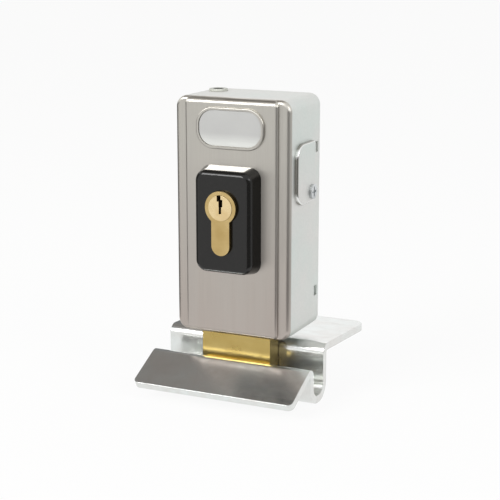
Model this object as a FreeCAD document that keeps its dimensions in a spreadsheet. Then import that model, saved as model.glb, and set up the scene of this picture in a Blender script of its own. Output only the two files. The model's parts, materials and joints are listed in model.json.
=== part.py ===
import FreeCAD, Part
import os
import re
import Sketcher

# Electric gate lock with its floor strike.
# X runs to the right as seen from the front, Y to the rear and Z up, in millimetres.
# The origin is the middle of the rear face, at the centre of the four gate fixing holes.

doc = FreeCAD.newDocument("gate_lock")
V = FreeCAD.Vector

# Driving sizes, one row of the sheet each
SIZES = {
    # Housing
    "body_width": 64, "body_height": 123.4, "body_depth": 40, "corner_radius": 6,
    "wall": 1.5, "back_thick": 2, "fit_gap": 0.15,
    "fixing_side": 7, "fixing_end": 9.7, "fixing_hole": 5.5,
    # Front cover
    "cover_depth": 4, "cover_sheet": 1.2, "shoulder_width": 6.15, "panel_step": 1.7,
    "cover_round": 2.2, "panel_round": 3.4, "panel_edge": 1.5, "tongue_depth": 5.6,
    "label_side": 14.6, "label_height": 18.3, "label_round": 8, "label_z": 46.5,
    "bead_width": 1.5, "bead_height": 1.4, "label_lift": 0.4, "plate_sheet": 0.5,
    "cover_screw_side": 7, "cover_screw_hole": 3, "cover_screw_head": 2.5,
    # Tabs of the back plate and the side slots they sit in
    "slot_height": 5.5, "slot_depth": 3.8, "slot_land": 0.3, "upper_slot_z": 34.6, "lower_slot_z": -42,
    "tab_sheet": 1.2, "tab_length": 9, "nib_height": 0.4,
    # Euro profile half cylinder
    "key_z": 8, "profile_round": 8.5, "profile_drop": 24.5, "lobe_radius": 5,
    "cylinder_proud": 2, "cylinder_rear": 13.7, "plug_radius": 6.5, "plug_face": 0.25,
    "cam_middle": 28.3, "cam_width": 9.4, "cam_slot": 10, "cam_hub": 7.6, "cam_tip_radius": 4,
    "cam_neck": 4.8,
    "cam_reach": 15.25, "bridge_height": 10, "keyway_depth": 24.3, "keyway_width": 1.7,
    "cylinder_screw_size": 5, "cylinder_screw_drop": 19,
    # Cylinder guard
    "guard_width": 34, "guard_height": 55, "guard_depth": 10, "draft_angle": 9,
    "guard_corner": 6, "guard_round": 3.2, "guard_wall": 2.6, "guard_top": 3, "guard_z": 0,
    "boss_radius": 3.4, "boss_z": 20.6, "guard_screw": 3,
    # Bolt, its plate, pin and springs
    "bolt_side": 12.5, "bolt_thick": 10.5, "bolt_length": 50, "bolt_drop": 23.3, "bolt_front": 5.8,
    "bolt_bevel": 6, "bolt_edge": 0.5, "bolt_stroke": 14, "bolt_gap": 0.25,
    "lift_sheet": 2, "lift_overlap": 11.2, "lift_stop": 0.3, "arm_width": 6.2, "arm_gap": 0.65,
    "finger_gap": 0.3, "finger_height": 4.7, "lift_pin_size": 5, "lift_pin_z": 4, "rivet_size": 4,
    "rivet_share": 0.246, "guide_height": 12, "guide_side": 3.5, "guide_front": 1.6, "guide_rear": 3,
    "bridge_sheet": 1.5, "bridge_z": -19, "bridge_side": 6.3, "bridge_foot": 2.5,
    "spring_share": 0.6923, "spring_radius": 3.3, "spring_wire": 0.8, "spring_pitch": 6.4,
    "spring_pocket": 14, "spring_bore": 4.2, "spring_pin_size": 4, "spring_pin_length": 13.5,
    # Lever and its pivot
    "lever_sheet": 2, "lever_y": 9, "lever_width": 8, "pivot_x": -14, "pivot_size": 5,
    "pivot_shoulder": 8, "slot_play": 0.2,
    # Solenoid
    "plunger_size": 9, "tongue_thick": 2.8, "plunger_stroke": 7,
    "plunger_pin_size": 3, "tongue_y": 11.6, "yoke_sheet": 2, "yoke_low": 27, "yoke_head": 2.7,
    "yoke_front": 20, "yoke_clear": 1, "coil_radius": 8.6, "bobbin_wall": 0.9, "bobbin_flange": 9,
    "core_length": 2.5, "running_gap": 0.08,
    # Terminals and cable entry
    "terminal_side": 9.6, "terminal_width": 13.2, "terminal_low": 29, "terminal_high": 44,
    "terminal_depth": 12, "terminal_screw": 4, "wire_hole": 3,
    "entry_side": 11.5, "entry_y": 12, "entry_bore": 5.6, "grommet_neck": 7.8, "grommet_rim": 9.8,
    "rim_thick": 1.2,
    # Side plate and its screw
    "side_thick": 2, "side_inset": 7.3, "side_rear": 9.4, "side_low": 7.5, "side_high": 39,
    "side_corner": 8, "side_edge": 1.2, "side_screw_y": 14.6, "side_screw_z": 13,
    "side_screw_head": 7.6, "side_screw_size": 4, "side_screw_rise": 1.3, "recess_width": 1.1,
    # Floor strike
    "strike_length": 90, "strike_thick": 4, "strike_gap": 0.6, "trough_width": 12.6,
    "strike_depth": 32.8, "crest_rise": 20.4, "ramp_angle": 26.3, "ramp_reach": 29, "bend_inner": 1,
    "trough_round": 5.2, "flange_rise": 29.4, "flange_reach": 39, "flange_fall": 3.5, "flange_corner": 8,
    "ramp_corner": 3, "strike_hole": 6.4, "strike_hole_x": 30, "strike_hole_y": 18,
}

sheet = doc.addObject("Spreadsheet::Sheet", "Sizes")
for row, (word, value) in enumerate(SIZES.items(), start=1):
    sheet.set(f"A{row}", word)
    sheet.set(f"B{row}", str(value))
    sheet.setAlias(f"B{row}", word)
levels = doc.addObject("Spreadsheet::Sheet", "Levels")
doc.recompute()

# Sizes that follow from the driving ones, as text for expressions
FRONT = "-body_depth"
SEAM = "-(body_depth - cover_depth)"
SHOULDER = "-(body_depth - panel_step)"
TOP = "body_height / 2"
FLOOR = "-body_height / 2"
INNER_X = "(body_width / 2 - wall)"
INNER_Z = "(body_height / 2 - wall)"
GUARD_FACE = "-(body_depth + guard_depth)"
BRIDGE_X = "(body_width / 2 - wall - bridge_side)"
KEY_FACE = "-(body_depth + guard_depth + cylinder_proud)"
KEY_LENGTH = "(body_depth + guard_depth + cylinder_proud - cylinder_rear)"
CAM_Y = "(-(body_depth + guard_depth + cylinder_proud) + cam_middle)"
CAM_ARM = "(cam_reach - cam_tip_radius)"
CAM_ANGLE = "asin(bolt_stroke / 2 / (cam_reach - cam_tip_radius))"
BOLT_HALF = "(body_width / 2 - bolt_side)"
SPRING_X = "((body_width / 2 - bolt_side) * spring_share)"
RIVET_X = "((body_width / 2 - bolt_side) * rivet_share)"
COVER_SCREW_X = "(body_width / 2 - cover_screw_side)"
BOLT_FRONT = "(bolt_front - body_depth)"
BOLT_REAR = "(bolt_front + bolt_thick - body_depth)"
BOLT_MIDDLE = "(bolt_front + bolt_thick / 2 - body_depth)"
BOLT_END = "(-body_height / 2 - bolt_drop)"
BOLT_TOP = "(-body_height / 2 - bolt_drop + bolt_length)"
LIFT_REAR = "(bolt_front + bolt_thick - body_depth + lift_sheet)"
ARM_IN = "(cam_reach + arm_gap)"
PIN_X = "(cam_reach + arm_gap + arm_width / 2)"
GUIDE_TOP = "(-body_height / 2 + wall + guide_height)"
PIVOT_Z = "(lift_pin_z + bolt_stroke / 2)"
LEVER_REACH = "(cam_reach + arm_gap + arm_width / 2 - pivot_x)"
LEVER_ANGLE = "atan(bolt_stroke / 2 / (cam_reach + arm_gap + arm_width / 2 - pivot_x))"
PLUNGER_X = "((pivot_x + cam_reach + arm_gap + arm_width / 2) / 2)"
PLUNGER_PIN_Z = "(lift_pin_z + bolt_stroke / 4)"
YOKE_HIGH = "(body_height / 2 - wall - yoke_head)"
PLUNGER_TOP = "(body_height / 2 - wall - yoke_head - yoke_sheet - core_length - plunger_stroke)"
GROUND = "(-body_height / 2 - strike_depth)"
COVER_SCREW_Y = f"({SEAM} + tongue_depth / 2)"
SLOT_Y = "(back_thick + slot_land + slot_depth / 2)"
WALL_FACE = "(bolt_front + bolt_thick - body_depth + strike_gap)"


def qualify(text):
    # Each word that names a size is read from the sheet
    return re.sub(r"[a-z][a-z_]*", lambda m: ("Sizes." if m[0] in SIZES else "") + m[0], str(text))


def bind(item, prop, text):
    item.setExpression(prop, qualify(text))


def move(item, x="0", y="0", z="0"):
    for axis, text in zip("xyz", (x, y, z)):
        bind(item, f"Placement.Base.{axis}", text)
    return item


def block(name, x, y, z):
    item = doc.addObject("Part::Box", name)
    for prop, (low, high) in zip(("Length", "Width", "Height"), (x, y, z)):
        bind(item, prop, f"({high}) - ({low})")
    return move(item, x[0], y[0], z[0])


def rod(name, axis, start, radius, length):
    item = doc.addObject("Part::Cylinder", name)
    turns = {"x": V(1, 0, 0), "y": V(0, 1, 0), "z": V(0, 0, 1)}
    item.Placement.Rotation = FreeCAD.Rotation(V(0, 0, 1), turns[axis])
    bind(item, "Radius", radius)
    bind(item, "Height", length)
    return move(item, *start)


def cone(name, axis, start, radius_start, radius_end, length):
    item = doc.addObject("Part::Cone", name)
    turns = {"x": V(1, 0, 0), "y": V(0, 1, 0), "z": V(0, 0, 1)}
    item.Placement.Rotation = FreeCAD.Rotation(V(0, 0, 1), turns[axis])
    bind(item, "Radius1", radius_start)
    bind(item, "Radius2", radius_end)
    bind(item, "Height", length)
    return move(item, *start)


def fuse(name, items):
    result = doc.addObject("Part::MultiFuse", name)
    result.Shapes = items
    result.Refine = True
    return result


def cut(name, base, tools):
    result = doc.addObject("Part::Cut", name)
    result.Base = base
    result.Tool = tools[0] if len(tools) == 1 else fuse(name + "_tools", tools)
    result.Refine = True
    return result


def plane(body, role):
    return next(item for item in body.Origin.OriginFeatures if item.Role == role)


# The range from near to far on one side of the middle
def on_side(side, near, far):
    return (near, far) if side > 0 else (f"-({far})", f"-({near})")


def rectangle(x, z):
    return [(x[0], z[0]), (x[1], z[0]), (x[1], z[1]), (x[0], z[1])]


# A straight prism: a closed outline with every corner bound, padded along its plane's normal.
# The XZ plane's normal points to the front, so its offset is counted forwards.
def prism(name, role, offset, length, corners, taper=None):
    body = doc.addObject("PartDesign::Body", name)
    outline = body.newObject("Sketcher::SketchObject", name + "_outline")
    outline.AttachmentSupport = [(plane(body, role), "")]
    outline.MapMode = "FlatFace"
    count = len(corners)
    ring = [V(100, 0, 0), V(0, 100, 0), V(-100, 0, 0), V(0, -100, 0)]
    start = [ring[k * 4 // count] + (ring[(k * 4 // count + 1) % 4] - ring[k * 4 // count])
             * ((k * 4 / count) % 1) for k in range(count)]
    for k in range(count):
        outline.addGeometry(Part.LineSegment(start[k], start[(k + 1) % count]), False)
    for k in range(count):
        outline.addConstraint(Sketcher.Constraint("Coincident", k, 2, (k + 1) % count, 1))
    for k, (across, up) in enumerate(corners):
        for kind, text in (("DistanceX", across), ("DistanceY", up)):
            index = outline.addConstraint(Sketcher.Constraint(kind, -1, 1, k, 1, 1.0))
            bind(outline, f"Constraints[{index}]", text)
    bind(outline, "AttachmentOffset.Base.z", offset)
    pad = body.newObject("PartDesign::Pad", name + "_pad")
    pad.Profile = outline
    bind(pad, "Length", length)
    if taper:
        bind(pad, "TaperAngle", taper)
    doc.recompute()
    return body


def dress(body, kind, size, pick):
    base = body.Tip
    names = [f"Edge{k + 1}" for k, edge in enumerate(base.Shape.Edges) if pick(edge)]
    step = body.newObject("PartDesign::" + kind, f"{body.Name}_{kind.lower()}_{len(body.Group)}")
    step.Base = (base, names)
    bind(step, "Radius" if kind == "Fillet" else "Size", size)
    doc.recompute()
    return body


# Edge picks: by direction, and by the coordinate of a plane the whole edge lies in
def along(axis, near=None):
    def pick(edge):
        if len(edge.Vertexes) < 2:
            return False
        run = edge.Vertexes[1].Point - edge.Vertexes[0].Point
        straight = abs(getattr(run, axis)) > 0.97 * edge.Length
        return straight and (near is None or near(edge.CenterOfMass))
    return pick


def in_plane(axis, text):
    level = value(text)
    return lambda edge: all(abs(getattr(v.Point, axis) - level) < 1e-3 for v in edge.Vertexes)


def value(text):
    # A spare cell of a second sheet works the expression out
    levels.set("A1", "=" + qualify(text))
    levels.recompute()
    return float(levels.get("A1"))


# Euro profile: a round with a lobe hanging below it, from start, running to the rear
def euro(name, start, length, gap="0"):
    head = rod(name + "_round", "y", ("0", start, "key_z"), f"profile_round + {gap}", length)
    web = block(name + "_web", (f"-lobe_radius - {gap}", f"lobe_radius + {gap}"),
                (start, f"{start} + {length}"), ("key_z - profile_drop + lobe_radius", "key_z"))
    foot = rod(name + "_foot", "y", ("0", start, "key_z - profile_drop + lobe_radius"),
               f"lobe_radius + {gap}", length)
    return fuse(name, [head, web, foot])


def back_box():
    size = rectangle(("-body_width / 2", "body_width / 2"), (FLOOR, TOP))
    outer = prism("case_outer", "XZ_Plane", "back_thick", "body_depth - cover_depth - back_thick", size)
    dress(outer, "Fillet", "corner_radius", along("y"))
    inside = rectangle((f"-{INNER_X}", INNER_X), (f"-{INNER_Z}", INNER_Z))
    inner = prism("case_inner", "XZ_Plane", "back_thick", "body_depth - cover_depth - back_thick", inside)
    dress(inner, "Fillet", "corner_radius - wall", along("y"))
    bolt_way = block("bolt_way", (f"-{BOLT_HALF} - 2 * bolt_gap", f"{BOLT_HALF} + 2 * bolt_gap"),
                     (f"{BOLT_FRONT} - 2 * bolt_gap", f"{BOLT_REAR} + 2 * bolt_gap"),
                     (f"{FLOOR} - 1", f"{FLOOR} + wall + 1"))
    entry = rod("entry_hole", "z", (ENTRY_X, "-entry_y", f"{TOP} - wall - 1"), "grommet_neck / 2",
                "wall + 2")
    slots = [block(f"side_slot_{k}", ("-body_width / 2 - 1", "body_width / 2 + 1"),
                   (f"-{SLOT_Y} - slot_depth / 2", f"-{SLOT_Y} + slot_depth / 2"),
                   (f"{z} - slot_height / 2", f"{z} + slot_height / 2"))
             for k, z in enumerate(("upper_slot_z", "lower_slot_z"))]
    key_screw = rod("key_screw_hole", "x", ("-body_width / 2 - 1", CAM_Y, "key_z - cylinder_screw_drop"),
                    "cylinder_screw_size / 2 + fit_gap", "wall + 2")
    side_screw = rod("side_screw_hole", "x", (f"{INNER_X} - 1", "-side_screw_y", "side_screw_z"),
                     "side_screw_size / 2 + fit_gap", "wall + 2")
    under = [cone(f"cover_screw_sink_{side}", "z", (f"{side} * {COVER_SCREW_X}", COVER_SCREW_Y, FLOOR),
                  "cover_screw_head + fit_gap", "cover_screw_hole / 2 + fit_gap", "wall")
             for side in (-1, 1)]
    return cut("back_box", outer, [inner, bolt_way, entry, key_screw, side_screw] + slots + under)




def back_plate():
    size = rectangle(("-body_width / 2", "body_width / 2"), (FLOOR, TOP))
    sheet_body = prism("back_sheet", "XZ_Plane", "0", "back_thick", size)
    dress(sheet_body, "Fillet", "corner_radius", along("y"))
    tabs = []
    for k, z in enumerate(("upper_slot_z", "lower_slot_z")):
        for side in (-1, 1):
            sheet_x = on_side(side, f"{INNER_X} - fit_gap - tab_sheet", f"{INNER_X} - fit_gap")
            tabs.append(block(f"tab_{k}_{side + 1}", sheet_x, ("-back_thick - tab_length", "-back_thick"),
                              (f"{z} - slot_height", f"{z} + slot_height")))
            nib_x = on_side(side, f"{INNER_X} - fit_gap", f"{INNER_X} + nib_height")
            tabs.append(block(f"nib_{k}_{side + 1}", nib_x,
                              (f"-{SLOT_Y} - slot_depth / 2 + fit_gap",
                               f"-{SLOT_Y} + slot_depth / 2 - fit_gap"),
                              (f"{z} - slot_height / 2 + fit_gap", f"{z} + slot_height / 2 - fit_gap")))
    hole_x, hole_z = "(body_width / 2 - fixing_side)", "(body_height / 2 - fixing_end)"
    holes = [rod(f"gate_hole_{x}_{z}", "y", (f"{x} * {hole_x}", "-back_thick - 1", f"{z} * {hole_z}"),
                 "fixing_hole / 2", "back_thick + 2") for x in (-1, 1) for z in (-1, 1)]
    return cut("back_plate", fuse("back_with_tabs", [sheet_body] + tabs), holes)


def label_outline(grow="0"):
    half_x, half_z = f"(body_width / 2 - label_side + {grow})", f"(label_height / 2 + {grow})"
    return rectangle((f"-{half_x}", half_x), (f"label_z - {half_z}", f"label_z + {half_z}"))


def front_cover():
    size = rectangle(("-body_width / 2", "body_width / 2"), (FLOOR, TOP))
    shoulder = prism("cover_shoulder", "XZ_Plane", "body_depth - cover_depth", "cover_depth - panel_step",
                     size)
    dress(shoulder, "Fillet", "corner_radius", along("y"))
    dress(shoulder, "Fillet", "cover_round", in_plane("y", SHOULDER))
    side_view = rectangle((FRONT, SEAM), (FLOOR, TOP))
    panel = prism("cover_panel", "YZ_Plane", "shoulder_width - body_width / 2",
                  "body_width - 2 * shoulder_width", side_view)
    dress(panel, "Fillet", "panel_edge", along("z", lambda c: c.y < value(SHOULDER)))
    dress(panel, "Fillet", "panel_round", along("x", lambda c: c.y < value(SHOULDER)))
    tongue_x, tongue_z = f"({INNER_X} - fit_gap)", f"({INNER_Z} - fit_gap)"
    tongue = prism("cover_tongue", "XZ_Plane", "body_depth - cover_depth - tongue_depth", "tongue_depth",
                   rectangle((f"-{tongue_x}", tongue_x), (f"-{tongue_z}", tongue_z)))
    dress(tongue, "Fillet", "corner_radius - wall - fit_gap", along("y"))
    bead = prism("label_bead", "XZ_Plane", "body_depth - cover_sheet / 2", "bead_height + cover_sheet / 2",
                 label_outline("bead_width"))
    dress(bead, "Fillet", "label_round + bead_width", along("y"))
    dress(bead, "Fillet", "bead_height / 2", in_plane("y", "-(body_depth + bead_height)"))
    room_x, room_z = f"({INNER_X} - fit_gap - cover_sheet)", f"({INNER_Z} - fit_gap - cover_sheet)"
    room = prism("cover_room", "XZ_Plane", "body_depth - cover_depth - tongue_depth - 1",
                 "cover_depth + tongue_depth + 1 - panel_step - cover_sheet",
                 rectangle((f"-{room_x}", room_x), (f"-{room_z}", room_z)))
    dress(room, "Fillet", "corner_radius - wall - fit_gap - cover_sheet", along("y"))
    recess_x = "(body_width / 2 - shoulder_width - cover_sheet)"
    panel_room = block("panel_room", (f"-{recess_x}", recess_x), (f"{FRONT} + cover_sheet", f"{SEAM}"),
                       (f"-{room_z}", room_z))
    label_seat = prism("label_seat", "XZ_Plane", "body_depth + label_lift", "bead_height + 1",
                       label_outline())
    dress(label_seat, "Fillet", "label_round", along("y"))
    key_hole = euro("cover_key_hole", f"{FRONT} - 1", "panel_step + cover_sheet + 2", "2 * fit_gap")
    holes = [rod(f"guard_screw_way_{k}", "y", ("0", f"{FRONT} - 1", f"guard_z + {k} * boss_z"),
                 "guard_screw / 2 + fit_gap", "cover_sheet + 2") for k in (-1, 1)]
    feet = [rod(f"cover_thread_{k}", "z", (f"{k} * {COVER_SCREW_X}", COVER_SCREW_Y, f"{FLOOR} + wall"),
                "cover_screw_hole / 2", "cover_sheet + 1") for k in (-1, 1)]
    notch_x = f"({BOLT_HALF} + guide_side + fit_gap)"
    guide_notch = block("guide_notch", (f"-{notch_x}", notch_x), (SEAM, f"{SEAM} + tongue_depth + 1"),
                        (FLOOR, f"-{room_z} + 1"))
    outer = fuse("cover_outer", [shoulder, panel, tongue, bead])
    return cut("front_cover", outer, [room, panel_room, label_seat, key_hole, guide_notch] + holes + feet)


def name_plate():
    plate = prism("name_plate", "XZ_Plane", "body_depth + label_lift", "plate_sheet",
                  label_outline("-fit_gap"))
    return dress(plate, "Fillet", "label_round - fit_gap", along("y"))


def escutcheon():
    half_x, half_z = "guard_width / 2", "guard_height / 2"
    shell = prism("guard_shell", "XZ_Plane", "body_depth", "guard_depth",
                  rectangle((f"-{half_x}", half_x), (f"guard_z - {half_z}", f"guard_z + {half_z}")),
                  taper="-draft_angle")
    dress(shell, "Fillet", "guard_corner", along("y"))
    dress(shell, "Fillet", "guard_round", in_plane("y", GUARD_FACE))
    in_x = "(guard_width / 2 - guard_wall - guard_depth * tan(draft_angle) / 2)"
    in_z = "(guard_height / 2 - guard_wall - guard_depth * tan(draft_angle) / 2)"
    hollow = prism("guard_hollow", "XZ_Plane", "body_depth", "guard_depth - guard_top",
                   rectangle((f"-{in_x}", in_x), (f"guard_z - {in_z}", f"guard_z + {in_z}")))
    dress(hollow, "Fillet", "guard_corner - guard_wall", along("y"))
    collar = euro("guard_collar", GUARD_FACE, "guard_depth", "fit_gap + guard_wall / 2")
    bosses = [rod(f"guard_boss_{k}", "y", ("0", f"{GUARD_FACE} + guard_top", f"guard_z + {k} * boss_z"),
                  "boss_radius", "guard_depth - guard_top") for k in (-1, 1)]
    bore = euro("guard_bore", f"{GUARD_FACE} - 1", "guard_depth + 2", "fit_gap")
    pilots = [rod(f"guard_pilot_{k}", "y", ("0", f"{GUARD_FACE} + guard_top", f"guard_z + {k} * boss_z"),
                  "guard_screw / 2", "guard_depth") for k in (-1, 1)]
    skin = cut("guard_skin", shell, [hollow])
    return cut("escutcheon", fuse("guard_whole", [skin, collar] + bosses), [bore] + pilots)


# Pan head screw along an axis: the head sits outside the face, the shank runs the other way
def screw(name, axis, face, head, head_height, size, length, way):
    offset = {"x": ("{0}", "0", "0"), "y": ("0", "{0}", "0"), "z": ("0", "0", "{0}")}[axis]
    def shifted(amount):
        return tuple(f"({base}) + ({part.format(amount)})" for base, part in zip(face, offset))
    cap = rod(name + "_head", axis, face if way > 0 else shifted(f"-({head_height})"), head, head_height)
    shank = rod(name + "_shank", axis, shifted(f"-({length})") if way > 0 else face, size, length)
    return [cap, shank]


def escutcheon_screws():
    inner = f"({FRONT} + cover_sheet)"
    parts = []
    for k in (-1, 1):
        parts += screw(f"guard_screw_{k}", "y", ("0", inner, f"guard_z + {k} * boss_z"),
                       "guard_screw", "guard_screw / 2", "guard_screw / 2 - fit_gap / 3", "cover_sheet + 6", 1)
    return fuse("escutcheon_screws", parts)


def cylinder_body():
    profile = euro("cylinder_profile", KEY_FACE, KEY_LENGTH)
    plug_bore = rod("plug_bore", "y", ("0", f"{KEY_FACE} - 1", "key_z"), "plug_radius + running_gap",
                    f"{KEY_LENGTH} + 2")
    cam_way = block("cam_way", ("-profile_round - 1", "profile_round + 1"),
                    (f"{CAM_Y} - cam_slot / 2", f"{CAM_Y} + cam_slot / 2"),
                    ("key_z - profile_drop + bridge_height", "key_z + profile_round + 1"))
    thread = rod("cylinder_thread", "x", ("-lobe_radius - 1", CAM_Y, "key_z - cylinder_screw_drop"),
                 "cylinder_screw_size / 2", "2 * lobe_radius + 2")
    return cut("cylinder_body", profile, [plug_bore, cam_way, thread])


def cylinder_plug():
    core = rod("plug_core", "y", ("0", f"{KEY_FACE} - plug_face", "key_z"), "plug_radius",
               f"{KEY_LENGTH} + plug_face")
    front = (f"{KEY_FACE} - plug_face - 1", f"{KEY_FACE} + keyway_depth")
    upper = block("keyway_upper", ("-keyway_width / 2 - 0.9", "keyway_width / 2 - 0.5"), front,
                  ("key_z + 3.4", "key_z + plug_radius + 1"))
    middle = block("keyway_middle", ("-keyway_width / 2 + 0.1", "keyway_width / 2 + 0.5"), front,
                   ("key_z + 0.6", "key_z + 4.4"))
    lower = block("keyway_lower", ("-keyway_width / 2 + 0.2", "keyway_width / 2 - 0.2"), front,
                  ("key_z - 3", "key_z + 1.2"))
    return cut("cylinder_plug", core, [upper, middle, lower])


# The cam is drawn pointing to the right and then turned down by half its swing
def cylinder_cam():
    start = "-cam_width / 2"
    hub = rod("cam_hub_round", "y", ("0", start, "0"), "cam_hub", "cam_width")
    arm = block("cam_arm", ("0", CAM_ARM), (start, "cam_width / 2"), ("-cam_neck / 2", "cam_neck / 2"))
    tip = rod("cam_tip", "y", (CAM_ARM, start, "0"), "cam_tip_radius", "cam_width")
    bore = rod("cam_bore", "y", ("0", f"{start} - 1", "0"), "plug_radius + fit_gap / 3", "cam_width + 2")
    cam = cut("cylinder_cam", fuse("cam_blank", [hub, arm, tip]), [bore])
    cam.Placement.Rotation = FreeCAD.Rotation(V(0, 1, 0), 1)
    bind(cam, "Placement.Rotation.Angle", CAM_ANGLE)
    return move(cam, "0", CAM_Y, "key_z")


def cylinder_screw():
    face = ("-body_width / 2", CAM_Y, "key_z - cylinder_screw_drop")
    return fuse("cylinder_screw", screw("key_screw", "x", face, "cylinder_screw_size * 0.85",
                                        "cylinder_screw_size / 2", "cylinder_screw_size / 2 - fit_gap / 3",
                                        "body_width / 2 + lobe_radius", -1))


def bolt():
    outline = rectangle((f"-{BOLT_HALF}", BOLT_HALF), (BOLT_END, BOLT_TOP))
    bar = prism("bolt_bar", "XZ_Plane", f"-({BOLT_REAR})", "bolt_thick", outline)
    low = value(BOLT_END)
    rear = value(BOLT_REAR)
    dress(bar, "Chamfer", "bolt_bevel",
          along("x", lambda c: abs(c.z - low) < 0.01 and abs(c.y - rear) < 0.01))
    dress(bar, "Chamfer", "bolt_edge", along("x", lambda c: c.z < low + 0.01))
    pockets = [rod(f"spring_pocket_{k}", "z", (f"{k} * {SPRING_X}", BOLT_MIDDLE, f"{BOLT_TOP} - spring_pocket"),
                   "spring_bore", "spring_pocket + 1") for k in (-1, 1)]
    rivet_holes = [rod(f"bolt_rivet_hole_{k}", "y", (f"{k} * {RIVET_X}", f"{BOLT_FRONT} - 1",
                   f"{BOLT_TOP} - lift_overlap / 2"), "rivet_size / 2 + fit_gap / 3", "bolt_thick + 2")
                   for k in (-1, 1)]
    return cut("bolt", bar, pockets + rivet_holes)


def lift_plate():
    low, high = f"({GUIDE_TOP} + lift_stop)", f"({BOLT_TOP} - 1)"
    finger_low = "(key_z - bolt_stroke / 2 + cam_tip_radius + finger_gap)"
    finger_high = f"({finger_low} + finger_height)"
    finger_x = "(profile_round + 2 * running_gap + fit_gap)"
    arm_out = f"({ARM_IN} + arm_width)"
    corners = [(f"-{BOLT_HALF} + 2", low), (arm_out, low), (arm_out, finger_high), (finger_x, finger_high),
               (finger_x, finger_low), (ARM_IN, finger_low), (ARM_IN, high), (f"-{BOLT_HALF} + 2", high)]
    plate = prism("lift_blank", "XZ_Plane", f"-({LIFT_REAR})", "lift_sheet", corners)
    dress(plate, "Fillet", "lift_sheet", along("y", lambda c: c.x < 0 or c.x > value(ARM_IN) + 1))
    pin_hole = rod("lift_pin_hole", "y", (PIN_X, f"{BOLT_REAR} - 1", "lift_pin_z"),
                   "lift_pin_size / 2 - 0.5 + fit_gap / 3", "lift_sheet + 2")
    rivet_holes = [rod(f"lift_rivet_hole_{k}", "y", (f"{k} * {RIVET_X}", f"{BOLT_REAR} - 1",
                   f"{BOLT_TOP} - lift_overlap / 2"), "rivet_size / 2 + fit_gap / 3", "lift_sheet + 2")
                   for k in (-1, 1)]
    return cut("lift_plate", plate, [pin_hole] + rivet_holes)


def bolt_rivets():
    parts = []
    for k in (-1, 1):
        at = (f"{k} * {RIVET_X}", LIFT_REAR, f"{BOLT_TOP} - lift_overlap / 2")
        parts += screw(f"bolt_rivet_{k}", "y", at, "rivet_size * 0.9", "rivet_size * 0.4", "rivet_size / 2",
                       "lift_sheet + bolt_thick", 1)
    return fuse("bolt_rivets", parts)


def lift_pin():
    neck = rod("lift_pin_neck", "y", (PIN_X, BOLT_REAR, "lift_pin_z"), "lift_pin_size / 2 - 0.5",
               "lift_sheet")
    body = rod("lift_pin_body", "y", (PIN_X, LIFT_REAR, "lift_pin_z"), "lift_pin_size / 2",
               f"-lever_y + lever_sheet / 2 + 0.8 - {LIFT_REAR}")
    return fuse("lift_pin", [neck, body])


def bolt_guide():
    low = f"({FLOOR} + wall)"
    half = f"({BOLT_HALF} + guide_side)"
    outer = block("guide_outer", (f"-{half}", half),
                  (f"{BOLT_FRONT} - guide_front", f"{BOLT_REAR} + guide_rear"),
                  (low, GUIDE_TOP))
    way = block("guide_way", (f"-{BOLT_HALF} - bolt_gap", f"{BOLT_HALF} + bolt_gap"),
                (f"{BOLT_FRONT} - bolt_gap", f"{BOLT_REAR} + bolt_gap"), (f"{low} - 1", f"{GUIDE_TOP} + 1"))
    return cut("bolt_guide", outer, [way])


def spring_bridge():
    rear = f"{BOLT_MIDDLE} + bolt_thick / 2 - bolt_gap"
    depth = (f"{SEAM} + tongue_depth + bolt_edge", rear)
    web = block("bridge_web", (f"-{BRIDGE_X} - bridge_sheet", f"{BRIDGE_X} + bridge_sheet"),
                (f"{BOLT_MIDDLE} - bolt_thick / 2 + bolt_gap", rear), ("bridge_z",
                                                                       "bridge_z + bridge_sheet"))
    parts = [web]
    for side in (-1, 1):
        leg = on_side(side, BRIDGE_X, f"{BRIDGE_X} + bridge_sheet")
        foot = on_side(side, f"{BRIDGE_X} + bridge_sheet - bridge_foot", f"{BRIDGE_X} + bridge_sheet")
        parts.append(block(f"bridge_leg_{side + 1}", leg, depth,
                           (f"{FLOOR} + wall", "bridge_z + bridge_sheet")))
        parts.append(block(f"bridge_foot_{side + 1}", foot, depth,
                           (f"{FLOOR} + wall", f"{FLOOR} + wall + bridge_sheet")))
    holes = [rod(f"bridge_hole_{k}", "z", (f"{k} * {SPRING_X}", BOLT_MIDDLE, "bridge_z - 1"),
                 "spring_pin_size / 2 + fit_gap / 3", "bridge_sheet + 2") for k in (-1, 1)]
    return cut("spring_bridge", fuse("bridge_whole", parts), holes)


def spring_pins():
    pins = [rod(f"spring_pin_{k}", "z", (f"{k} * {SPRING_X}", BOLT_MIDDLE, "bridge_z - spring_pin_length"),
                "spring_pin_size / 2", "spring_pin_length + bridge_sheet") for k in (-1, 1)]
    return fuse("spring_pins", pins)


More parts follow.
